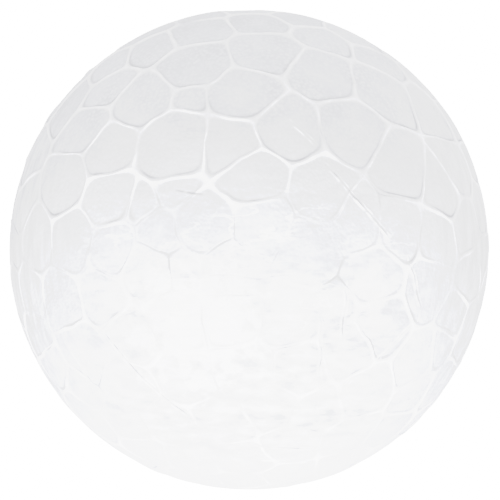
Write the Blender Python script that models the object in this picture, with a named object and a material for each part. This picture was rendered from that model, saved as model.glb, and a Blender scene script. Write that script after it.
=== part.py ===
"""Craft ball moulded from bead foam, modelled as the one solid piece it is.

The mould presses round beads together until they fuse. Each bead ends as one
cell of the skin, and where two beads meet the skin stands up as a fine ridge.
The shape is made in that order: a round blank gets one flat cut for each bead,
the edges between the cuts are drawn onto the sphere, and each face is then
inset, sunk and domed into a cell. The front is -Y and up is +Z.
"""
import math

import bmesh
import bpy
import numpy as np
from mathutils import Vector

# Driving sizes, in metres
BALL_DIAMETER = 0.030     # across the tops of the ridges
BEAD_SIZE = 0.00375       # mean distance between the middles of two fused beads
RIDGE_WIDTH = 0.00030     # across the foot of a ridge
RIDGE_HEIGHT = 0.00006    # from the rim of a cell to the top of the ridge
CELL_DISH = 0.00001       # how far the middle of a cell lies under a true dome
SHORTEST_RIDGE = 0.00040  # junctions closer than this have flowed into one
LONGEST_CHORD = 0.0016    # a longer ridge is bent once to follow the ball
CORNER_FILL = 0.3         # share of each sharp cell corner that the junction fills
CORNER_TURN = math.radians(15)   # a rim point that turns more than this is a corner
DISH_HALFWAY = 0.75       # a parabola has this share of its depth at half its radius

# The foam's own colour and finish
FOAM_COLOUR = (0.90, 0.90, 0.92, 1.0)
FOAM_ROUGHNESS = 0.62
FOAM_SUBSURFACE = 0.35

# Hidden beads are strewn by rule: candidates tried for each, and easing rounds
FRONT_REACH = 3.8         # bead sizes out from the middle, from where beads are strewn
STREW_SEED = 7
CANDIDATES = 60
EASING_ROUNDS = 3
EASING_POINTS = 6000
SIZE_SCATTER = 0.006      # of the radius, how unevenly the beads have swollen

# Middles of the beads on the front, in bead sizes across and up from the middle
# of the ball. A third value, in thousandths of the radius, moves that bead's
# cut outward, which leaves the bead smaller, or inward if it is negative.
FRONT_BEADS = (
    (-1.69, 3.37), (-0.87, 3.67), (0.21, 3.83), (1.26, 3.58), (2.11, 3.23),
    (-2.96, 2.48), (-2.29, 3.08), (-2.42, 2.67), (-1.82, 2.47), (-0.91, 3.10),
    (0.28, 3.30), (1.23, 2.93), (2.23, 2.65), (3.08, 2.28),
    (-2.74, 2.05), (-0.99, 2.52, 8), (-0.10, 2.60), (0.64, 2.03), (1.73, 2.02),
    (-3.65, 1.48), (-2.34, 1.65), (-1.27, 1.75, -4), (-0.35, 1.75), (0.06, 1.22),
    (2.54, 1.35), (3.46, 1.35), (-3.79, 0.73), (-3.09, 1.12), (-2.37, 0.88),
    (-1.82, 0.77, 6), (-1.22, 1.02, 6), (1.26, 0.95), (3.26, 0.95),
    (-3.59, 0.15), (-2.97, 0.15), (-2.29, -0.02), (-1.52, 0.28, 4), (-0.74, 0.45),
    (0.21, 0.38), (0.98, -0.02), (1.81, 0.45), (2.54, 0.35), (3.18, 0.18),
    (3.63, 0.38), (3.71, -0.43), (-3.69, -0.68), (-3.12, -0.85), (-2.46, -0.78),
    (-1.77, -0.38), (-1.12, -0.35, 6), (-0.29, -0.32), (2.10, -0.43), (3.01, -0.60),
    (-3.56, -1.43), (-2.76, -1.68), (-1.96, -1.43), (-1.27, -1.22), (-0.29, -1.18),
    (0.68, -1.15), (1.51, -0.93, 6), (2.21, -1.27), (3.43, -1.18), (3.26, -1.60),
    (-3.24, -2.02), (-2.79, -2.43), (-2.02, -2.27), (-1.07, -2.15), (-0.07, -2.05),
    (0.85, -2.02), (1.65, -1.68), (2.85, -1.85), (1.93, -2.43), (2.76, -2.43),
    (-2.12, -2.93), (-1.29, -2.93), (-0.46, -2.85), (0.35, -2.60), (1.15, -2.72),
    (-1.74, -3.35), (-0.99, -3.55), (-0.16, -3.52), (0.76, -3.23), (1.68, -3.10),
    (2.38, -2.98), (-0.16, -3.88), (0.68, -3.77), (1.51, -3.57),
)

BLANK_WIDTH = 3           # in ball radii: the cuts leave nothing of the blank's own faces
CUT_TOLERANCE = 1e-7      # in ball radii

RADIUS = BALL_DIAMETER / 2
LIGHT_DEPTH = BEAD_SIZE / 3       # light travels through about a third of a bead
HEXAGON_FILL = math.sqrt(3) / 2   # area of a close-packed cell over its width squared
BEAD_COUNT = round(4 * math.pi * RADIUS ** 2 / (HEXAGON_FILL * BEAD_SIZE ** 2))


def clear_scene():
    for thing in list(bpy.data.objects):
        bpy.data.objects.remove(thing, do_unlink=True)


def front_beads():
    """Directions and cut depths of the beads that the front view shows."""
    directions = []
    depths = []
    for across, up, *smaller in FRONT_BEADS:
        x = across * BEAD_SIZE / RADIUS
        z = up * BEAD_SIZE / RADIUS
        towards_viewer = 1 - x * x - z * z
        if towards_viewer <= 0:
            continue
        directions.append((x, -math.sqrt(towards_viewer), z))
        depths.append(1 + (smaller[0] / 1000 if smaller else 0))
    return np.array(directions), np.array(depths)


def random_directions(rng, count):
    spread = rng.normal(size=(count, 3))
    return spread / np.linalg.norm(spread, axis=1, keepdims=True)


def beyond_front(directions):
    """Which of the directions lie outside the patch of beads that is placed by hand."""
    from_middle = np.hypot(directions[:, 0], directions[:, 2]) * RADIUS / BEAD_SIZE
    return (directions[:, 1] > 0) | (from_middle > FRONT_REACH)


def strew_beads(directions, depths):
    """Adds the hidden beads, each where it has the most room, and eases them apart."""
    rng = np.random.default_rng(STREW_SEED)
    fixed = len(directions)
    while len(directions) < BEAD_COUNT:
        tries = random_directions(rng, CANDIDATES)
        tries = tries[beyond_front(tries)]
        nearest = (tries @ directions.T).max(axis=1)
        directions = np.vstack((directions, tries[nearest.argmin()]))
    points = random_directions(rng, EASING_POINTS)
    for _ in range(EASING_ROUNDS):
        owner = (points @ directions.T).argmax(axis=1)
        for bead in range(fixed, BEAD_COUNT):
            own = points[owner == bead]
            if len(own):
                middle = own.mean(axis=0)
                directions[bead] = middle / np.linalg.norm(middle)
    hidden = 1 + rng.uniform(-SIZE_SCATTER, SIZE_SCATTER, BEAD_COUNT - fixed)
    return directions, np.concatenate((depths, hidden))


def cut_blank(bm, directions, depths):
    """A cube around a ball of radius 1, cut once for each bead."""
    bmesh.ops.create_cube(bm, size=BLANK_WIDTH)
    for direction, depth in zip(directions, depths):
        normal = Vector(direction)
        everything = bm.verts[:] + bm.edges[:] + bm.faces[:]
        cut = bmesh.ops.bisect_plane(
            bm, geom=everything, dist=CUT_TOLERANCE, plane_co=normal * depth,
            plane_no=normal, clear_outer=True)
        rim = [part for part in cut["geom_cut"] if isinstance(part, bmesh.types.BMEdge)]
        if rim:
            bmesh.ops.edgeloop_fill(bm, edges=rim)


def draw_ridges(bm):
    """Lays the edges between the cuts on the ball, where they become the ridge tops."""
    bmesh.ops.scale(bm, vec=(RADIUS, RADIUS, RADIUS), verts=bm.verts[:])
    short = [edge for edge in bm.edges if edge.calc_length() < SHORTEST_RIDGE]
    bmesh.ops.collapse(bm, edges=short)
    long = [edge for edge in bm.edges if edge.calc_length() > LONGEST_CHORD]
    bmesh.ops.bisect_edges(bm, edges=long, cuts=1)
    lay_on_ball(bm.verts, 0)


def lay_on_ball(verts, depth):
    for vert in verts:
        vert.co = vert.co.normalized() * (RADIUS - depth)


def outline(cell):
    """Each rim point of a cell, with the places before it, at it and after it."""
    ring = [loop.vert for loop in cell.loops]
    places = [vert.co.copy() for vert in ring]
    return zip(ring, places[-1:] + places[:-1], places, places[1:] + places[:1])


def sink_cells(bm):
    """Insets every face by half a ridge, rounds its corners and sinks it into a cell."""
    cells = bm.faces[:]
    bmesh.ops.inset_individual(bm, faces=cells, thickness=RIDGE_WIDTH / 2, use_even_offset=True)
    corners = set()
    for cell in cells:
        for vert, before, here, after in outline(cell):
            vert.co = here.lerp((before + after) / 2, CORNER_FILL)
            if (here - before).angle(after - here) > CORNER_TURN:
                corners.add(vert)
        lay_on_ball(cell.verts, RIDGE_HEIGHT)
    dome_cells(bm, cells, corners)


def dome_cells(bm, cells, corners):
    """Lifts each cell on its middle and on a ring of points halfway out to its corners."""
    middles = bmesh.ops.poke(bm, faces=cells)["verts"]
    lay_on_ball(middles, RIDGE_HEIGHT + CELL_DISH)
    spokes = [edge for vert in middles for edge in vert.link_edges]
    spare = [edge for edge in spokes if corners.isdisjoint(edge.verts)]
    bmesh.ops.dissolve_edges(bm, edges=spare)
    spokes = [edge for vert in middles for edge in vert.link_edges]
    split = bmesh.ops.bisect_edges(bm, edges=spokes, cuts=1)["geom_split"]
    halfway = [part for part in split if isinstance(part, bmesh.types.BMVert)]
    lay_on_ball(halfway, RIDGE_HEIGHT + CELL_DISH * DISH_HALFWAY)
    bmesh.ops.connect_verts(bm, verts=halfway)


def foam_material():
    material = bpy.data.materials.new("white_bead_foam")
    material.use_nodes = True
    shader = material.node_tree.nodes["Principled BSDF"]
    shader.inputs["Base Color"].default_value = FOAM_COLOUR
    shader.inputs["Roughness"].default_value = FOAM_ROUGHNESS
    shader.inputs["Metallic"].default_value = 0.0
    shader.inputs["Subsurface Weight"].default_value = FOAM_SUBSURFACE
    shader.inputs["Subsurface Scale"].default_value = LIGHT_DEPTH
    material.diffuse_color = FOAM_COLOUR
    return material


def make_ball():
    bm = bmesh.new()
    directions, depths = strew_beads(*front_beads())
    cut_blank(bm, directions, depths)
    draw_ridges(bm)
    sink_cells(bm)
    bmesh.ops.triangulate(bm, faces=bm.faces[:])
    bmesh.ops.recalc_face_normals(bm, faces=bm.faces[:])
    mesh = bpy.data.meshes.new("foam_ball")
    bm.to_mesh(mesh)
    bm.free()
    mesh.shade_smooth()
    mesh.materials.append(foam_material())
    ball = bpy.data.objects.new("foam_ball", mesh)
    bpy.context.scene.collection.objects.link(ball)


clear_scene()
make_ball()
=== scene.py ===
"""Looks of the foam craft ball: bead skin, foam finish, studio light and camera.

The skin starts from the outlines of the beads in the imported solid. Each outline
is divided finely, set wandering as real fused seams do, and inset ring by ring
into a rounded ridge, a thin crease at its foot and a slightly crowned bead.
Lengths are in metres, the front is -Y and up is +Z.
"""
import math

import bmesh
import bpy
import numpy as np
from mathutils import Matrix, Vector, kdtree, noise


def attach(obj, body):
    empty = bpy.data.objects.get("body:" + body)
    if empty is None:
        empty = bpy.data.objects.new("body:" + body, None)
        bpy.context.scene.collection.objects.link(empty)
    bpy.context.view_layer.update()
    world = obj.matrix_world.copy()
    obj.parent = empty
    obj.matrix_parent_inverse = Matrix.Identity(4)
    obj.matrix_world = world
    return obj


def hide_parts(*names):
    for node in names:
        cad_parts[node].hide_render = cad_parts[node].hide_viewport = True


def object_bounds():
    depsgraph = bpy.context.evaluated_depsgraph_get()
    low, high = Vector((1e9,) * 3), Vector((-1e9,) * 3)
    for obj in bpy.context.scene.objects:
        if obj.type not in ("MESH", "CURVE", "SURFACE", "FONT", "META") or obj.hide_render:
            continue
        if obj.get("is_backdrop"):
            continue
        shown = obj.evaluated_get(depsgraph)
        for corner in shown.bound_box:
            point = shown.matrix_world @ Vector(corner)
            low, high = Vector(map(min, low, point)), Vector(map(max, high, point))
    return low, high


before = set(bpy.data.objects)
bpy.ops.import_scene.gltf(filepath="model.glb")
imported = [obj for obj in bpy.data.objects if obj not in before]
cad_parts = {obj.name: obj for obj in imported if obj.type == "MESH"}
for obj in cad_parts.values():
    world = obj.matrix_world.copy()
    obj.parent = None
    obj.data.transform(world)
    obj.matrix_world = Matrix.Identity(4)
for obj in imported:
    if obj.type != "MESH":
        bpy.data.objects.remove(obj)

solid_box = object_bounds()

BALL_RADIUS = 0.015
BEAD = 0.00375                # between the middles of two fused beads
RIDGE_HEIGHT = 0.00009        # from the foot of a full ridge to its top
RIDGE_WIDTH = 0.00013         # from the middle of a ridge to its foot
RIDGE_WIDTH_SPREAD = 0.7      # share by which that width comes and goes
RIDGE_ROUNDING = 1.3          # 1 is a plain arch, more makes the foot softer
JOINT_WIDENING = 0.35         # how much wider a ridge gets where ridges meet
JOINT_REACH = 0.00045         # how far from the meeting point that reaches
CREASE_DEPTH = 0.000018       # the thin crease at the foot of a ridge
CREASE_PLACE = 1.3            # in ridge widths from the middle of the ridge
CREASE_SPREAD = 0.44          # in ridge widths
CREASE_UPPER = 0.4            # share of the crease's depth on the upper side of a bead
CREASE_UNDER = 1.6            # share of it that the underside of a bead adds
GROOVE_DEPTH = 0.00004        # the fine groove of a seam that has fused flush
GROOVE_SPREAD = 0.45          # in ridge widths
BEAD_CROWN = 0.000020         # how far the middle of a bead stands over its rim
BEAD_GREYNESS = 0.11          # some beads are greyer than others, up to this much
SKIN_RIPPLE = 0.000008        # slow unevenness of the skin of a bead
SWELL = 0.000018              # beads that stand a little proud of or under the ball
SWELL_SIZE = 0.0030

# Strength of a ridge, from 0 to 1: what it is in the lower part of the ball, what the
# upper part adds, and how far it comes and goes along a seam
LOW_STRENGTH = 0.36
UPPER_STRENGTH = 0.56
UPPER_START = 1.0             # in bead sizes up from the middle of the ball
UPPER_BLUR = 0.6              # in bead sizes
COARSE_CHANGE = 0.85
COARSE_CALM = 0.35            # how much less of the coarse change the upper part has
FINE_CHANGE = 0.35
FLUSH_LOSS = 0.50             # what the flush patch and the faint seams named below take away
FAINT_LOSS = 0.6
PROUD_GAIN = 0.9              # and what the proud seams add
WEAKEST = 0.05                # some of each ridge and of each crease stays

# Whiteness of a ridge beyond its strength, and how far that comes and goes
WHITE_END = -0.8              # in bead sizes up from the middle: the lower part starts here
WHITE_BLUR = 0.8              # in bead sizes
LOW_WHITENESS = 0.15
WHITE_CHANGE = 0.5
LOW_WHITE_CHANGE = 0.9        # how much more it changes in the lower part

# Painted shadow in a crease: plain, by the whiteness of its ridge, and how far it comes and goes
PLAIN_DARKNESS = 0.15
WHITE_DARKNESS = 0.75
DARKNESS_CHANGE = 1.6
# The painted shadow is deeper on the upper part of the ball, which the low lamp lights least
MIDDLE_DARKNESS = 0.8         # share of it at the middle of the ball
UPPER_DARKNESS = 0.4          # what the top adds to that share and the bottom takes away
GROOVE_MEAN = 0.35            # of the fine groove along a seam, before it comes and goes

# Slow changes over the ball: the size of one, and where its pattern starts
COARSE_DRIFT = (0.0031, (5.1, 0, 0))
FINE_DRIFT = (0.0011, (0, 7.7, 0))
WHITE_DRIFT = (0.0024, (8.2, 1.9, 5.3))
CREASE_DRIFT = (0.0016, (3.9, 9.4, 6.6))
GROOVE_DRIFT = (0.0017, (2.3, 6.1, 0.4))
WIDTH_DRIFT = (0.0019, (0, 0, 3.3))
SWELL_DRIFT = (SWELL_SIZE, (1.7, 4.1, 2.9))
RIPPLE_DRIFT = (0.0008, (0, 0, 0))

SEAM_STEP = 0.00032           # between two points along a ridge
BENDS = ((0.00016, 0.0014), (0.00008, 0.0006))   # how far a ridge strays, and how long a bend is
BEND_SEED = 1                 # makes the ridges bend in the same way in each run
HAIR = 1e-6                   # points this near are one, and a new ring starts this far in
CREST_MARGIN = 0.00003        # points of the solid this near its full radius are ridge tops

# Rings of a bead, in ridge widths from the middle of its ridge, and how often
# the points of each ring are eased towards their neighbours
RIDGE_RINGS = ((0.25, 0), (0.5, 1), (0.75, 2), (1.0, 3), (1.3, 4), (1.7, 5), (2.5, 7))
DEEPEST_RING = 0.72           # of the way to the middle, the most that such a ring may go
INNER_RINGS = (0.45,)         # shares of what is left between the last ring and the middle

# Places on the front, each in bead sizes: across and up from the middle of the ball,
# and how far the place reaches
FILLED_JOINTS = (             # foam has flowed into the corner and made it wide
    (0.56, 2.80, 0.16), (-0.68, 1.18, 0.20), (1.27, 1.52, 0.16), (-0.40, 0.77, 0.18),
    (-1.88, 1.40, 0.16), (2.44, 2.04, 0.16), (3.47, 0.87, 0.18), (1.05, 3.69, 0.22),
)
PROUD_SEAMS = (               # ridges that stand up fully
    (2.20, -1.80, 0.80), (-2.90, -0.80, 0.60), (2.75, -0.55, 0.65), (0.47, -3.50, 0.50),
    (1.30, 2.50, 0.45), (1.95, 2.25, 0.45), (-1.90, 3.05, 0.50), (-1.00, 3.30, 0.50),
    (0.00, 3.05, 0.50), (0.90, 3.15, 0.50), (1.80, 3.10, 0.50),
)
FAINT_SEAMS = (               # ridges that are weaker than those round them
    (1.62, 1.45, 0.35), (2.35, 1.00, 0.50), (-1.35, 0.60, 0.45), (1.15, 2.00, 0.30),
    (-2.50, 0.35, 0.45), (-3.05, -0.35, 0.50), (2.75, 0.45, 0.45), (3.20, -0.10, 0.40),
)
FLUSH_PATCH = ((0.10, -0.70, 2.0),)      # here the beads have fused with hardly a ridge
# In these creases a darker shadow is painted
SHADOWED_CREASES = (              # creases with a plain shadow
    (2.45, 0.95, 0.35), (-0.10, 2.35, 0.30), (1.20, 2.50, 0.30), (1.80, 2.30, 0.40),
    (2.35, 2.05, 0.30), (0.35, 1.85, 0.35), (0.95, 1.50, 0.35),
)
# White clouds in the finish, with a fourth value for how white they are, from 0 to 1
WHITE_PATCHES = ((-0.85, -1.35, 1.30, 0.80), (0.75, -0.95, 0.60, 0.35), (2.0, -0.75, 0.50, 0.35))

# Fine lines across the beads: where each starts and ends, then how proud its lips and
# how deep its groove are and how much it bends, as shares. The first four are joins of
# the mould, the next one is a fold in the skin, and the rest are weals.
PRESSED_LINES = (
    ((0.62, 2.19), (1.19, 1.69), 1.0, 0.2, 0.2),
    ((1.24, 1.47), (1.95, 0.66), 0.8, 0.9, 0.2),
    ((1.65, 1.00), (2.36, 0.19), 1.3, 0.5, 0.2),
    ((-2.41, -1.39), (-0.99, -2.78), 1.2, 1.0, 0.3),
    ((-1.24, 1.00), (-0.74, 0.93), 0.2, 1.6, 0.6),
    ((1.17, -1.02), (1.20, -2.20), 0.7, 0.6, 1.0),
    ((-1.30, -0.44), (0.85, -0.44), 0.3, 0.4, 1.0),
    ((-0.10, -3.22), (1.25, -3.30), 0.6, 0.8, 1.0),
    ((1.62, -0.50), (1.56, -1.50), 1.4, 0.6, 1.0),
    ((2.62, -0.10), (2.87, -0.95), 1.2, 0.6, 1.0),
    ((2.86, -1.08), (1.58, -2.29), 1.4, 0.1, 1.0),
    ((0.05, -3.46), (1.05, -3.52), 1.4, 0.1, 1.0),
    ((-3.05, -1.55), (-2.55, -2.30), 1.0, 0.5, 1.0),
)
LINE_CUTS = (-0.00030, -0.00021, -0.00014, -0.00007, 0.0, 0.00007, 0.00014, 0.00021, 0.00030)
LINE_STEP = 0.00026           # between two points along such a line
LINE_LIP = 0.000050           # its two lips stand this proud
LINE_LIP_PLACE = 0.00011      # and this far from its middle
LINE_LIP_SPREAD = 0.00006
LINE_LIP_LEAST = 0.15         # share of a lip that stays where it is broken
LINE_GROOVE = 0.000030        # the groove between them is this deep
LINE_GROOVE_SPREAD = 0.00006
LINE_GROOVE_LEAST = 0.25      # share of the groove that stays where it is broken
# The groove of such a line is darkened with painted shadow
LINE_DARKEST = 0.75           # how dark the groove may get, from 0 to 1
LINE_DASH = 0.0005            # length of a piece of the broken lips and groove
LINE_FADE = 0.0005            # the line comes and goes over this length
LINE_BEND = 0.00030           # how far a line that bends fully strays sideways
LINE_BEND_SIZE = 0.0016       # how long one bend is
LINE_BEND_REACH = 0.00045     # skin beside the line this far away is drawn along
LINE_ZONE = 0.0010            # half the width of the skin that is looked at for a line

# Colours of the foam. Where there are two, a pattern goes from the first to the second.
BLOTCH_COLOURS = ((0.585, 0.592, 0.614, 1), (0.672, 0.679, 0.698, 1))
GRAIN_COLOURS = ((0.568, 0.575, 0.597, 1), (0.690, 0.697, 0.716, 1))
SPECKLE_GREY = (0.53, 0.536, 0.552, 1)
SCUFF_COLOURS = ((0.49, 0.495, 0.512, 1), (0.77, 0.776, 0.792, 1))
STREAK_COLOURS = ((0.425, 0.430, 0.438, 1), (0.83, 0.834, 0.842, 1))
WRINKLE_WHITE = (0.95, 0.953, 0.96, 1)
PATCH_WHITE = (0.88, 0.883, 0.89, 1)
RIDGE_WHITE = (0.97, 0.97, 0.98, 1)
# Painted shadow for the creases and grooves, and also the grey of the greyer beads
SHADE_AND_BEAD_GREY = (0.24, 0.24, 0.255, 1)

# Patterns of the finish: how many fit in a metre, how finely they are broken up, and
# the two levels between which they go from nothing to full. A fifth value is what
# they go from instead of nothing.
BLOTCHES = (330, 4, 0.35, 0.65)
GRAINS = (3400, 2, 0.3, 0.7)
SPECKLE_PATCHES = (420, 1, 0.25, 0.75)
SCUFFS = (800, 4, 0.38, 0.62)
STREAKS = (1100, 5, 0.38, 0.62)
WRINKLE_PATCHES = (240, 1, 0.45, 0.62)
RAGGED_EDGE = (900, 4, 0.3, 0.7)
UNEVEN_WHITE = (1500, 3, 0.35, 0.60, 0.62)
PIT_PATCHES = (380, 1, 0.20, 0.75)
WRINKLES = (480, 4)           # without levels, because they follow the middle of the pattern
WRINKLE_EDGE = (0.030, 0.006)  # how far from that middle a wrinkle starts and is full
PITS = 4200                   # to the metre
PIT_EDGE = (0.25, 0.65)       # from the middle of a pit, where a speckle starts and is full
PIT_DEPTH = 0.000022
UPRIGHT = (2.2, 2.2, 0.5)     # draws a pattern out along Z
LEVEL = (0.6, 0.6, 1.7)       # draws a pattern out along X and Y

# Where along an axis of the ball each part of the finish starts and is full
SPECKLES_UP = (0.002, 0.007)
SCUFFS_ASIDE = (0.0098, 0.0138)
STREAKS_DOWN = (0.0005, -0.007)
STREAKS_FRONT = (-0.0080, -0.0128)
UNDERSIDE_DOWN = (-0.0065, -0.0100)
UNDERSIDE_FRONT = (-0.0045, -0.0095)
WRINKLES_DOWN = (0.005, 0.001)
WRINKLES_FRONT = (-0.0095, -0.0135)
SCUFF_MOST = 0.50             # shares of the colour that each may take over
STREAK_LEAST = 0.12
STREAK_MOST = 0.85
WRINKLE_MOST = 0.7
PATCH_RAGGEDNESS = 0.9        # in reaches of a white patch
PATCH_EDGE = (1.35, 1.1)      # in its reaches, where a patch starts and is full

FOAM_ROUGHNESS = 0.6
FOAM_SHINE = 0.3
FOAM_TRANSLUCENCE = 0.25
LIGHT_DEPTH = 0.00012         # how far light travels through the foam
LIGHT_DEPTHS = (1.0, 0.95, 0.9)          # shares of it for red, green and blue

# Square soft lamps: the way to each from the ball, how wide it is and its power in watts
SOFTBOXES = {
    "low_softbox": ((-0.09, -0.57, -0.82), 0.14, 0.665),
    "front_softbox": ((0, -0.985, -0.174), 0.14, 0.18),
    "side_softbox": ((0.9, 0.42, 0.2), 0.3, 0.11),
}
LAMP_DISTANCE = 0.5
FLOOR_REACH = 0.4
FLOOR_COLOUR = (0.86, 0.86, 0.86, 1)
FLOOR_ROUGHNESS = 0.9
ROOM_COLOUR = (0.97, 0.97, 1.0, 1)
ROOM_LIGHT = 0.209            # of the light of the white backdrop

PHOTO_WIDTH = 500             # pixels
BALL_WIDTH = 482.6            # pixels, across the tops of the ridges
CAMERA_SHIFT = (0.95, -0.2)   # pixels across and up
CAMERA_DISTANCE = 0.4
CAMERA_NEAREST = 0.01
CAMERA_FARTHEST = 10

EXPOSURE = 4.05               # stops, which take the white backdrop's light of 1 to pure white
# Light before and after developing, with the backdrop as 1. The darkest and the
# brightest tones of the ball are held back, and those between them are lifted.
DEVELOPING_CURVE = (
    (0.127, 0.117), (0.150, 0.143), (0.18, 0.159), (0.221, 0.192), (0.252, 0.267), (0.267, 0.289),
    (0.30, 0.305), (0.36, 0.332), (0.50, 0.46),
)
ALL_CHANNELS = 3              # the curve that red, green and blue share


def held(value, least=0.0, most=1.0):
    """The value, or the limit that it passes."""
    return min(most, max(least, value))


def drift(place, size, start):
    """A slow change over the ball, from about -1 to 1."""
    return noise.noise(place / size + Vector(start))


def front_place(across, up):
    """The place on a ball of radius 1 that the front view shows there."""
    x, z = across * BEAD / BALL_RADIUS, up * BEAD / BALL_RADIUS
    return Vector((x, -math.sqrt(max(0.0, 1 - x * x - z * z)), z))


def nearness(place, spots):
    """How near a place lies to one of the named spots, 1 at the spot and 0 far away."""
    direction = place.normalized()
    nearest = 0.0
    for across, up, reach in spots:
        away = (direction - front_place(across, up)).length * BALL_RADIUS / BEAD
        nearest = max(nearest, math.exp(-(away / reach) ** 2))
    return nearest


def bead_regions(bm, crest):
    """Groups the triangles of the solid by bead: ridge tops part one bead from the next."""
    regions = []
    seen = set()
    for start in bm.faces:
        if start in seen:
            continue
        seen.add(start)
        region = [start]
        for face in region:
            for edge in face.edges:
                if crest.issuperset(edge.verts):
                    continue
                fresh = [other for other in edge.link_faces if other not in seen]
                seen.update(fresh)
                region.extend(fresh)
        regions.append(region)
    return regions


def bead_outlines(solid):
    """A mesh with one many-sided face for each bead, bounded by the tops of its ridges."""
    bm = bmesh.new()
    bm.from_mesh(solid.data)
    bmesh.ops.remove_doubles(bm, verts=bm.verts[:], dist=HAIR)
    radius = max(vert.co.length for vert in bm.verts)
    crest = {vert for vert in bm.verts if vert.co.length > radius - CREST_MARGIN}
    for region in bead_regions(bm, crest):
        bmesh.ops.dissolve_faces(bm, faces=region)
    return bm, radius


def divide_seams(bm):
    """Halves the ridge lines until their points lie close together."""
    while True:
        long = [edge for edge in bm.edges if edge.calc_length() > SEAM_STEP * math.sqrt(2)]
        if not long:
            return
        bmesh.ops.bisect_edges(bm, edges=long, cuts=1)


def wander_seams(bm, radius):
    """Bends the ridge lines a little and lays them on the ball."""
    noise.seed_set(BEND_SEED)
    for vert in bm.verts:
        on_ball = vert.co.normalized() * radius
        stray = Vector()
        for far, size in BENDS:
            stray += noise.noise_vector(on_ball / size) * far
        vert.co = (on_ball + stray).normalized() * radius


def seam_strength(place):
    """How proud the ridge stands at a place, from nearly 0 where it has fused flush to 1."""
    upper = 0.5 + 0.5 * math.tanh((place.z / BEAD - UPPER_START) / UPPER_BLUR)
    coarse = (COARSE_CHANGE - COARSE_CALM * upper) * drift(place, *COARSE_DRIFT)
    fine = FINE_CHANGE * drift(place, *FINE_DRIFT)
    strength = LOW_STRENGTH + UPPER_STRENGTH * upper + coarse + fine
    strength -= FLUSH_LOSS * nearness(place, FLUSH_PATCH) + FAINT_LOSS * nearness(place, FAINT_SEAMS)
    strength += PROUD_GAIN * nearness(place, PROUD_SEAMS) + nearness(place, FILLED_JOINTS)
    return held(strength, WEAKEST)


def ridge_whiteness(place, strength):
    """How much whiter and denser than the beads the foam of the ridge is, from 0 to 1."""
    low = 0.5 - 0.5 * math.tanh((place.z / BEAD - WHITE_END) / WHITE_BLUR)
    patch = (WHITE_CHANGE + LOW_WHITE_CHANGE * low) * drift(place, *WHITE_DRIFT)
    return held(strength + LOW_WHITENESS * low + patch)


def crease_painted_shadow(place, white):
    """How dark the painted shadow in the crease under a bead is, from nearly 0 to 1."""
    share = MIDDLE_DARKNESS + UPPER_DARKNESS * math.tanh(place.z / BEAD)
    patch = 1 + DARKNESS_CHANGE * drift(place, *CREASE_DRIFT)
    dark = share * (PLAIN_DARKNESS + WHITE_DARKNESS * white) * patch
    return held(dark + nearness(place, SHADOWED_CREASES), WEAKEST)


def seam_groove(place, strength):
    """How deep the fine groove along a seam is, from 0 to 1: deepest where no ridge stands."""
    patch = GROOVE_MEAN + drift(place, *GROOVE_DRIFT)
    return held(patch) * (1 - strength) ** 2


def seam_width(place, joints):
    """Half the width of the ridge at a place."""
    change = RIDGE_WIDTH_SPREAD * drift(place, *WIDTH_DRIFT)
    away = joints.find(place)[2]
    joint = JOINT_WIDENING * math.exp(-(away / JOINT_REACH) ** 2)
    joint += nearness(place, FILLED_JOINTS)
    return RIDGE_WIDTH * (1 + change + joint)


def swell(place):
    """How far the ball's skin lies above or under a true sphere at a place."""
    return SWELL * drift(place, *SWELL_DRIFT)


def ridge_section(out):
    """Height of the ridge, as a share, at a distance given in ridge widths."""
    return max(0.0, 1 - out * out) ** RIDGE_ROUNDING


def hump(out, place, spread):
    """A bell shape around a distance from the seam, as a share of its height."""
    return math.exp(-((out - place) / spread) ** 2)


def eased(ring, rounds):
    """Moves each point of a closed ring towards its neighbours, which rounds its corners."""
    for _ in range(rounds):
        ring = ring / 2 + (np.roll(ring, 1, axis=0) + np.roll(ring, -1, axis=0)) / 4
    return ring


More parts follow.
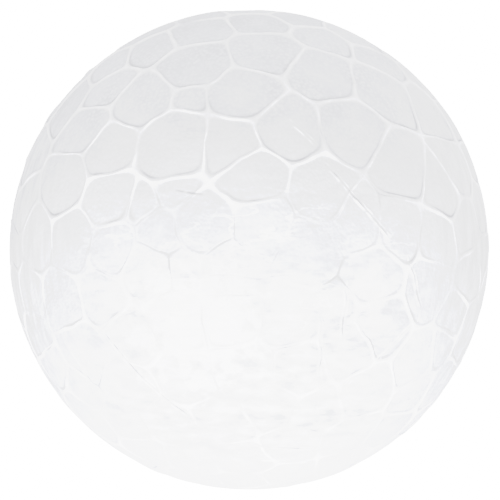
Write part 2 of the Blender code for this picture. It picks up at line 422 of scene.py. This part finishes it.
class Bead:
    """The outline of one bead and what follows from it at each outline point."""

    def __init__(self, face, radius, joints):
        self.face = face
        self.radius = radius
        places = [vert.co.copy() for vert in face.verts]
        self.outline = np.array(places)
        middle = Vector(self.outline.mean(axis=0)).normalized() * radius
        self.middle = np.array(middle)
        self.reach = self.reach_inwards()
        self.size = self.reach.mean()
        self.width = eased(np.array([seam_width(place, joints) for place in places]), 1)
        self.greyness = BEAD_GREYNESS * (0.5 + 0.5 * noise.cell(middle / SWELL_SIZE))
        self.strength = [seam_strength(place) for place in places]
        self.groove = [seam_groove(*pair) for pair in zip(places, self.strength)]
        self.white = [ridge_whiteness(*pair) for pair in zip(places, self.strength)]
        self.under = [held((middle.z - place.z) / self.size) for place in places]
        # Painted shadow in the crease along the lower edge of the bead, where its ridge hides it from
        # the low lamp
        self.dark = []
        for place, white, under, width in zip(places, self.white, self.under, self.width):
            narrow = min(1.0, RIDGE_WIDTH / width)
            self.dark.append(crease_painted_shadow(place, white) * under * narrow)

    def reach_inwards(self):
        """How far the middle lies from the seam at each outline point, square to the seam."""
        along = np.roll(self.outline, -1, axis=0) - np.roll(self.outline, 1, axis=0)
        along /= np.linalg.norm(along, axis=1, keepdims=True)
        inwards = self.middle - self.outline
        inwards -= along * (inwards * along).sum(axis=1, keepdims=True)
        return eased(np.linalg.norm(inwards, axis=1), 2)

    def ring(self, out, rounds):
        """Points at a distance from the ridge line, in ridge widths."""
        share = np.minimum(out * self.width / self.reach, DEEPEST_RING)[:, None]
        return eased(self.outline + (self.middle - self.outline) * share, rounds)

    def inner_ring(self, share):
        """Points at a share of the way from the last ring to the middle."""
        return self.ring(*RIDGE_RINGS[-1]) * (1 - share) + self.middle * share

    def at_height(self, places, out):
        """The points of a ring at their height: ridge, crease, groove, crown and ripple."""
        for index, place in enumerate(places):
            spot = Vector(place)
            from_middle = min(1.0, (spot - Vector(self.middle)).length / self.size)
            crown = BEAD_CROWN * (1 - from_middle ** 2)
            ripple = SKIN_RIPPLE * drift(spot, *RIPPLE_DRIFT) * min(1.0, out)
            strength = self.strength[index]
            low = RIDGE_HEIGHT * (1 - strength * ridge_section(out))
            crease = CREASE_DEPTH * strength * (CREASE_UPPER + CREASE_UNDER * self.under[index])
            low += crease * hump(out, CREASE_PLACE, CREASE_SPREAD)
            low += GROOVE_DEPTH * self.groove[index] * hump(out, 0, GROOVE_SPREAD)
            height = swell(spot) - SWELL - low + crown + ripple
            yield spot.normalized() * (self.radius + height)


def add_ring(bm, beads, ridge, painted_shade_and_greyness, rings, out):
    """Insets every bead once and puts the new points where its ring belongs."""
    faces = [bead.face for bead in beads]
    bmesh.ops.inset_individual(bm, faces=faces, thickness=HAIR)
    for bead, ring in zip(beads, rings):
        places = bead.at_height(ring, out)
        for index, (vert, place) in enumerate(zip(bead.face.verts, places)):
            vert.co = place
            vert[ridge] = bead.white[index] * ridge_section(out)
            # Painted shadow in the groove and the crease, or the bead's own grey where that is more
            dark = bead.groove[index] * hump(out, 0, GROOVE_SPREAD)
            dark += bead.dark[index] * hump(out, CREASE_PLACE, CREASE_SPREAD)
            vert[painted_shade_and_greyness] = max(dark, bead.greyness * min(1.0, out))


def lower_crest(bm, ridge, painted_shade_and_greyness, radius):
    """Lets the ridge tops rise and sink along their length."""
    for vert in bm.verts:
        strength = seam_strength(vert.co)
        groove = seam_groove(vert.co, strength)
        low = RIDGE_HEIGHT * (1 - strength) + GROOVE_DEPTH * groove
        vert[ridge] = ridge_whiteness(vert.co, strength)
        # Painted shadow in the groove along the ridge top
        vert[painted_shade_and_greyness] = groove
        vert.co = vert.co.normalized() * (radius + swell(vert.co) - SWELL - low)


def crown_beads(bm, beads, ridge, painted_shade_and_greyness, radius):
    """Closes each bead with a point in its middle."""
    middles = bmesh.ops.poke(bm, faces=[bead.face for bead in beads])["verts"]
    for vert in middles:
        height = swell(vert.co) - SWELL - RIDGE_HEIGHT + BEAD_CROWN
        vert.co = vert.co.normalized() * (radius + height)
        vert[ridge] = 0.0
        vert[painted_shade_and_greyness] = 0.0


def ridge_joints(bm):
    """The places where three or more ridges meet, for finding the nearest."""
    meetings = [vert.co.copy() for vert in bm.verts if len(vert.link_edges) > 2]
    joints = kdtree.KDTree(len(meetings))
    for index, place in enumerate(meetings):
        joints.insert(place, index)
    joints.balance()
    return joints


def make_skin(bm, radius):
    """Turns the outlines into ridges and crowned beads."""
    ridge = bm.verts.layers.float.new("ridge")
    # Carries painted shadow for the creases and grooves, and the grey of the greyer beads
    painted_shade_and_greyness = bm.verts.layers.float.new("painted_shade_and_greyness")
    joints = ridge_joints(bm)
    beads = [Bead(face, radius, joints) for face in bm.faces]
    lower_crest(bm, ridge, painted_shade_and_greyness, radius)
    for out, rounds in RIDGE_RINGS:
        add_ring(bm, beads, ridge, painted_shade_and_greyness, [bead.ring(out, rounds) for bead in beads], out)
    last_out = RIDGE_RINGS[-1][0]
    for share in INNER_RINGS:
        add_ring(bm, beads, ridge, painted_shade_and_greyness, [bead.inner_ring(share) for bead in beads], last_out)
    crown_beads(bm, beads, ridge, painted_shade_and_greyness, radius)


class PressedLine:
    """A fine line across the beads, between two places on the front."""

    def __init__(self, start, end, lips, groove, bend, radius):
        self.radius = radius
        self.bend = bend
        self.lips = lips
        self.groove = groove
        self.start = front_place(*start)
        finish = front_place(*end)
        self.side = self.start.cross(finish).normalized()
        self.ahead = self.side.cross(self.start)
        self.length = self.start.angle(finish) * radius

    def measure(self, spot):
        """How far a spot lies beside the line, and how far along it."""
        turn = math.atan2(spot.dot(self.ahead), spot.dot(self.start))
        return spot.dot(self.side), turn * self.radius

    def faces_within(self, faces, width):
        """The faces on the front whose middle lies this near the line."""
        chosen = []
        for face in faces:
            middle = face.calc_center_median()
            if middle.y > 0 or abs(middle.dot(self.side)) > width:
                continue
            if -LINE_STEP < self.measure(middle)[1] < self.length + LINE_STEP:
                chosen.append(face)
        return chosen

    def cut(self, bm):
        """Cuts the skin along the line and, between the outer cuts, across it."""
        near = self.faces_within(bm.faces, LINE_ZONE)
        for beside in LINE_CUTS:
            near = split_faces(bm, near, self.side * beside, self.side)
        band = self.faces_within(near, LINE_CUTS[-1])
        for step in range(int(self.length / LINE_STEP)):
            turn = step * LINE_STEP / self.radius
            heading = self.ahead * math.cos(turn) - self.start * math.sin(turn)
            band = split_faces(bm, band, Vector(), heading)
        return {vert for face in near + band for vert in face.verts}

    def broken_lip(self, beside, along):
        """Height of the two lips at a spot, as a share: each is broken in its own places."""
        flecks = Vector((along / LINE_DASH, 1.5 if beside > 0 else 8.5, self.length))
        whole = self.lips * hump(abs(beside), LINE_LIP_PLACE, LINE_LIP_SPREAD)
        return whole * held(0.6 + 2.2 * noise.noise(flecks), LINE_LIP_LEAST)

    def broken_groove(self, beside, along):
        """Depth of the groove at a spot, as a share: a deep one is broken less."""
        dashes = 0.55 + 2.0 * noise.noise(Vector((along / LINE_DASH, 0.4, 0)))
        whole = self.groove * hump(beside, 0, LINE_GROOVE_SPREAD)
        return whole * held(dashes + self.groove - 1, LINE_GROOVE_LEAST)

    def stray(self, beside, along):
        """How far the line strays sideways there. Its length picks its own way of bending."""
        pattern = noise.noise(Vector((along / LINE_BEND_SIZE, self.length * 1000, 0.3)))
        return pattern * self.bend * LINE_BEND * hump(beside, 0, LINE_BEND_REACH)

    def emboss(self, verts, ridge, painted_shade_and_greyness):
        """Raises the two lips, sinks the groove between them and bends the line."""
        for vert in verts:
            beside, along = self.measure(vert.co)
            if abs(beside) > LINE_ZONE or not 0 < along < self.length:
                continue
            fade = min(1.0, along / LINE_FADE, (self.length - along) / LINE_FADE)
            lip = fade * self.broken_lip(beside, along)
            groove = fade * self.broken_groove(beside, along)
            height = LINE_LIP * lip - LINE_GROOVE * groove
            stray = fade * self.stray(beside, along)
            vert.co += vert.co.normalized() * height + self.side * stray
            vert[ridge] = min(1.0, max(vert[ridge], lip))
            # Painted shadow in the groove
            vert[painted_shade_and_greyness] = max(vert[painted_shade_and_greyness], min(LINE_DARKEST, groove))


def split_faces(bm, faces, plane_co, plane_no):
    """Cuts the given faces by a plane and returns them with the new ones."""
    parts = set(faces)
    for face in faces:
        parts.update(face.edges)
        parts.update(face.verts)
    cut = bmesh.ops.bisect_plane(bm, geom=list(parts), dist=HAIR, plane_co=plane_co,
                                 plane_no=plane_no)
    return [part for part in cut["geom"] if isinstance(part, bmesh.types.BMFace)]


class Finish:
    """The nodes of one material, with a short way to make each kind that the foam needs."""

    def __init__(self, name):
        self.material = bpy.data.materials.new(name)
        self.material.use_nodes = True
        self.nodes = self.material.node_tree.nodes
        self.link = self.material.node_tree.links.new
        self.shader = self.nodes["Principled BSDF"]
        self.place = self.nodes.new("ShaderNodeTexCoord").outputs["Object"]
        axes = self.nodes.new("ShaderNodeSeparateXYZ")
        self.link(self.place, axes.inputs["Vector"])
        self.x, self.y, self.z = axes.outputs

    def feed(self, socket, value):
        """Links a socket to a node's result, or gives it a number, a place or a colour."""
        if isinstance(value, bpy.types.NodeSocket):
            self.link(value, socket)
        else:
            socket.default_value = value

    def spread(self, value, low, high, least=0.0, most=1.0):
        """Maps a value between two levels to the given least and most."""
        levels = self.nodes.new("ShaderNodeMapRange")
        levels.inputs["From Min"].default_value = low
        levels.inputs["From Max"].default_value = high
        levels.inputs["To Min"].default_value = least
        levels.inputs["To Max"].default_value = most
        self.link(value, levels.inputs["Value"])
        return levels.outputs["Result"]

    def combine(self, operation, first, second=0.0):
        """The sum, product or the like of a value and a second one."""
        step = self.nodes.new("ShaderNodeMath")
        step.operation = operation
        self.feed(step.inputs[0], first)
        self.feed(step.inputs[1], second)
        return step.outputs["Value"]

    def stretched(self, shares):
        """The places on the ball with each axis drawn out or pressed together."""
        scaled = self.nodes.new("ShaderNodeVectorMath")
        scaled.operation = "MULTIPLY"
        self.feed(scaled.inputs[0], self.place)
        self.feed(scaled.inputs[1], shares)
        return scaled.outputs["Vector"]

    def away_from(self, centre):
        """How far the places on the ball lie from one of them."""
        away = self.nodes.new("ShaderNodeVectorMath")
        away.operation = "DISTANCE"
        self.feed(away.inputs[0], self.place)
        self.feed(away.inputs[1], centre)
        return away.outputs["Value"]

    def noise_on(self, where, scale, detail):
        """A soft cloudy pattern over the given places."""
        pattern = self.nodes.new("ShaderNodeTexNoise")
        pattern.inputs["Scale"].default_value = scale
        pattern.inputs["Detail"].default_value = detail
        self.link(where, pattern.inputs["Vector"])
        return pattern.outputs["Fac"]

    def cloud(self, scale, detail, low, high, least=0.0, where=None):
        """A soft pattern that goes from its least to 1 between the two given levels."""
        pattern = self.noise_on(self.place if where is None else where, scale, detail)
        return self.spread(pattern, low, high, least)

    def pits(self, scale):
        """How far each place lies from the middle of the nearest pit, in pit sizes."""
        pattern = self.nodes.new("ShaderNodeTexVoronoi")
        pattern.inputs["Scale"].default_value = scale
        self.link(self.place, pattern.inputs["Vector"])
        return pattern.outputs["Distance"]

    def blend(self, factor, first, second):
        """A colour between two others."""
        mix = self.nodes.new("ShaderNodeMix")
        mix.data_type = "RGBA"
        self.feed(mix.inputs["Factor"], factor)
        self.feed(mix.inputs["A"], first)
        self.feed(mix.inputs["B"], second)
        return mix.outputs["Result"]

    def painted(self, name):
        """What the skin's points carry under this name."""
        attribute = self.nodes.new("ShaderNodeAttribute")
        attribute.attribute_name = name
        return attribute.outputs["Fac"]


def bead_colour(foam, pits):
    """Bluish white with blotches and grains, and darker speckles on the upper part."""
    blotches = foam.blend(foam.cloud(*BLOTCHES), *BLOTCH_COLOURS)
    grains = foam.blend(foam.cloud(*GRAINS), *GRAIN_COLOURS)
    speckles = foam.combine("MULTIPLY", foam.spread(foam.z, *SPECKLES_UP), foam.spread(pits, *PIT_EDGE))
    speckles = foam.combine("MULTIPLY", speckles, foam.cloud(*SPECKLE_PATCHES))
    return foam.blend(speckles, foam.blend(0.5, blotches, grains), SPECKLE_GREY)


def scuff_sides(foam, colour):
    """Adds upright scuffs to the left and right sides."""
    scuffs = foam.blend(foam.cloud(*SCUFFS, where=foam.stretched(UPRIGHT)), *SCUFF_COLOURS)
    sides = foam.spread(foam.combine("ABSOLUTE", foam.x), *SCUFFS_ASIDE, 0.0, SCUFF_MOST)
    return foam.blend(sides, colour, scuffs)


def streak_lower_part(foam, colour, level):
    """Adds level streaks to the front and the underside, mostly to their lower part."""
    streaks = foam.blend(foam.cloud(*STREAKS, where=level), *STREAK_COLOURS)
    front = foam.spread(foam.y, *STREAKS_FRONT)
    underside = foam.combine("MULTIPLY", foam.spread(foam.z, *UNDERSIDE_DOWN),
                             foam.spread(foam.y, *UNDERSIDE_FRONT))
    lower = foam.combine("MULTIPLY", foam.spread(foam.z, *STREAKS_DOWN, STREAK_LEAST, STREAK_MOST),
                         foam.combine("MAXIMUM", front, underside))
    return foam.blend(lower, colour, streaks)


def wrinkle_front(foam, colour, level):
    """Adds patches of fine white wrinkles to the front, from just over the middle down."""
    from_line = foam.combine("SUBTRACT", foam.noise_on(level, *WRINKLES), 0.5)
    wrinkles = foam.spread(foam.combine("ABSOLUTE", from_line), *WRINKLE_EDGE)
    wrinkles = foam.combine("MULTIPLY", wrinkles, foam.cloud(*WRINKLE_PATCHES))
    wrinkles = foam.combine("MULTIPLY", wrinkles, foam.spread(foam.z, *WRINKLES_DOWN, 0.0, WRINKLE_MOST))
    wrinkles = foam.combine("MULTIPLY", wrinkles, foam.spread(foam.y, *WRINKLES_FRONT))
    return foam.blend(wrinkles, colour, WRINKLE_WHITE)


def whiten_patches(foam, colour):
    """Adds the white clouds with ragged edges."""
    for across, up, beads_wide, whiteness in WHITE_PATCHES:
        reach = beads_wide * BEAD
        ragged = foam.combine("MULTIPLY", foam.cloud(*RAGGED_EDGE), reach * PATCH_RAGGEDNESS)
        away = foam.combine("ADD", ragged, foam.away_from(front_place(across, up) * BALL_RADIUS))
        start, full = (reach * edge for edge in PATCH_EDGE)
        colour = foam.blend(foam.spread(away, start, full, 0.0, whiteness), colour, PATCH_WHITE)
    return colour


def whiten_ridges(foam, colour):
    """Lays uneven whiter foam on the ridges, painted shadow in creases and grooves, and bead grey."""
    ridges = foam.combine("MULTIPLY", foam.painted("ridge"), foam.cloud(*UNEVEN_WHITE))
    colour = foam.blend(ridges, colour, RIDGE_WHITE)
    return foam.blend(foam.painted("painted_shade_and_greyness"), colour, SHADE_AND_BEAD_GREY)


def pit_surface(foam, pits):
    """Gives the skin patches of fine pits."""
    bump = foam.nodes.new("ShaderNodeBump")
    bump.inputs["Strength"].default_value = 1.0
    bump.inputs["Distance"].default_value = PIT_DEPTH
    foam.link(foam.combine("MULTIPLY", pits, foam.cloud(*PIT_PATCHES)), bump.inputs["Height"])
    foam.link(bump.outputs["Normal"], foam.shader.inputs["Normal"])


def foam_finish():
    """White bead foam: bluish, mottled beads, whiter ridges and painted shadow in the creases."""
    foam = Finish("white_bead_foam")
    pits = foam.pits(PITS)
    level = foam.stretched(LEVEL)
    colour = scuff_sides(foam, bead_colour(foam, pits))
    colour = streak_lower_part(foam, colour, level)
    colour = wrinkle_front(foam, colour, level)
    colour = whiten_patches(foam, colour)
    foam.link(whiten_ridges(foam, colour), foam.shader.inputs["Base Color"])
    pit_surface(foam, pits)
    foam.shader.inputs["Roughness"].default_value = FOAM_ROUGHNESS
    foam.shader.inputs["Subsurface Weight"].default_value = FOAM_TRANSLUCENCE
    foam.shader.inputs["Subsurface Scale"].default_value = LIGHT_DEPTH
    foam.shader.inputs["Subsurface Radius"].default_value = LIGHT_DEPTHS
    foam.shader.inputs["Specular IOR Level"].default_value = FOAM_SHINE
    return foam.material


def make_ball():
    """The one piece: the whole ball, in place of its plain solid."""
    bm, radius = bead_outlines(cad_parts["foam_ball"])
    divide_seams(bm)
    wander_seams(bm, radius)
    make_skin(bm, radius)
    ridge, painted_shade_and_greyness = (bm.verts.layers.float[name] for name in ("ridge", "painted_shade_and_greyness"))
    for form in PRESSED_LINES:
        line = PressedLine(*form, radius)
        line.emboss(line.cut(bm), ridge, painted_shade_and_greyness)
    bmesh.ops.recalc_face_normals(bm, faces=bm.faces[:])
    mesh = bpy.data.meshes.new("foam_ball_skin")
    bm.to_mesh(mesh)
    bm.free()
    mesh.shade_smooth()
    mesh.materials.append(foam_finish())
    ball = bpy.data.objects.new("foam_ball_skin", mesh)
    bpy.context.scene.collection.objects.link(ball)
    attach(ball, "root")
    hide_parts("foam_ball")
    return radius


def make_floor(radius):
    """A plain pale floor under the ball, which lets the low lamp shine through."""
    bm = bmesh.new()
    bmesh.ops.create_grid(bm, x_segments=1, y_segments=1, size=FLOOR_REACH)
    bmesh.ops.translate(bm, vec=(0, 0, -radius), verts=bm.verts[:])
    mesh = bpy.data.meshes.new("floor")
    bm.to_mesh(mesh)
    bm.free()
    material = bpy.data.materials.new("pale_floor")
    material.use_nodes = True
    shader = material.node_tree.nodes["Principled BSDF"]
    shader.inputs["Base Color"].default_value = FLOOR_COLOUR
    shader.inputs["Roughness"].default_value = FLOOR_ROUGHNESS
    mesh.materials.append(material)
    floor = bpy.data.objects.new("floor", mesh)
    bpy.context.scene.collection.objects.link(floor)
    floor.visible_shadow = False
    floor.visible_diffuse = False
    floor.visible_glossy = False
    floor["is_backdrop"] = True


def add_softbox(name, direction, size, power):
    """A square soft lamp that faces the ball."""
    lamp = bpy.data.lights.new(name, "AREA")
    lamp.size = size
    lamp.energy = power
    holder = bpy.data.objects.new(name, lamp)
    holder.location = Vector(direction).normalized() * LAMP_DISTANCE
    holder.rotation_euler = (-holder.location).to_track_quat("-Z", "Y").to_euler()
    bpy.context.scene.collection.objects.link(holder)


def set_surroundings():
    """An even pale room, which the camera sees as pure white behind the ball."""
    world = bpy.data.worlds.new("white_room")
    bpy.context.scene.world = world
    world.use_nodes = True
    nodes = world.node_tree.nodes
    link = world.node_tree.links.new
    light = nodes["Background"]
    light.inputs["Color"].default_value = ROOM_COLOUR
    light.inputs["Strength"].default_value = ROOM_LIGHT
    backdrop = nodes.new("ShaderNodeBackground")
    backdrop.inputs["Color"].default_value = (1, 1, 1, 1)
    backdrop.inputs["Strength"].default_value = 1.0
    rays = nodes.new("ShaderNodeLightPath")
    choice = nodes.new("ShaderNodeMixShader")
    link(rays.outputs["Is Camera Ray"], choice.inputs["Fac"])
    link(light.outputs["Background"], choice.inputs[1])
    link(backdrop.outputs["Background"], choice.inputs[2])
    link(choice.outputs["Shader"], nodes["World Output"].inputs["Surface"])


def place_camera(radius):
    """Level with the ball and straight in front of it, as in the photograph."""
    pixel = 2 * radius / BALL_WIDTH
    across, up = (shift * pixel for shift in CAMERA_SHIFT)
    lens = bpy.data.cameras.new("camera")
    lens.type = "ORTHO"
    lens.ortho_scale = PHOTO_WIDTH * pixel
    lens.clip_start = CAMERA_NEAREST
    lens.clip_end = CAMERA_FARTHEST
    camera = bpy.data.objects.new("camera", lens)
    camera.location = (across, -CAMERA_DISTANCE, up)
    camera.rotation_euler = (math.radians(90), 0, 0)
    bpy.context.scene.collection.objects.link(camera)
    bpy.context.scene.camera = camera


def develop():
    """Fits the tones of the picture to the photograph's."""
    view = bpy.context.scene.view_settings
    view.view_transform = "Filmic"
    view.exposure = EXPOSURE
    view.use_curve_mapping = True
    curve = view.curve_mapping.curves[ALL_CHANNELS]
    for before, after in DEVELOPING_CURVE:
        curve.points.new(before, after)
    for point in curve.points:
        point.handle_type = "VECTOR"
    view.curve_mapping.update()


ball_radius = make_ball()
make_floor(ball_radius)
for softbox, form in SOFTBOXES.items():
    add_softbox(softbox, *form)
set_surroundings()
place_camera(ball_radius)
develop()

boxes = [[list(corner) for corner in box] for box in (solid_box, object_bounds())]
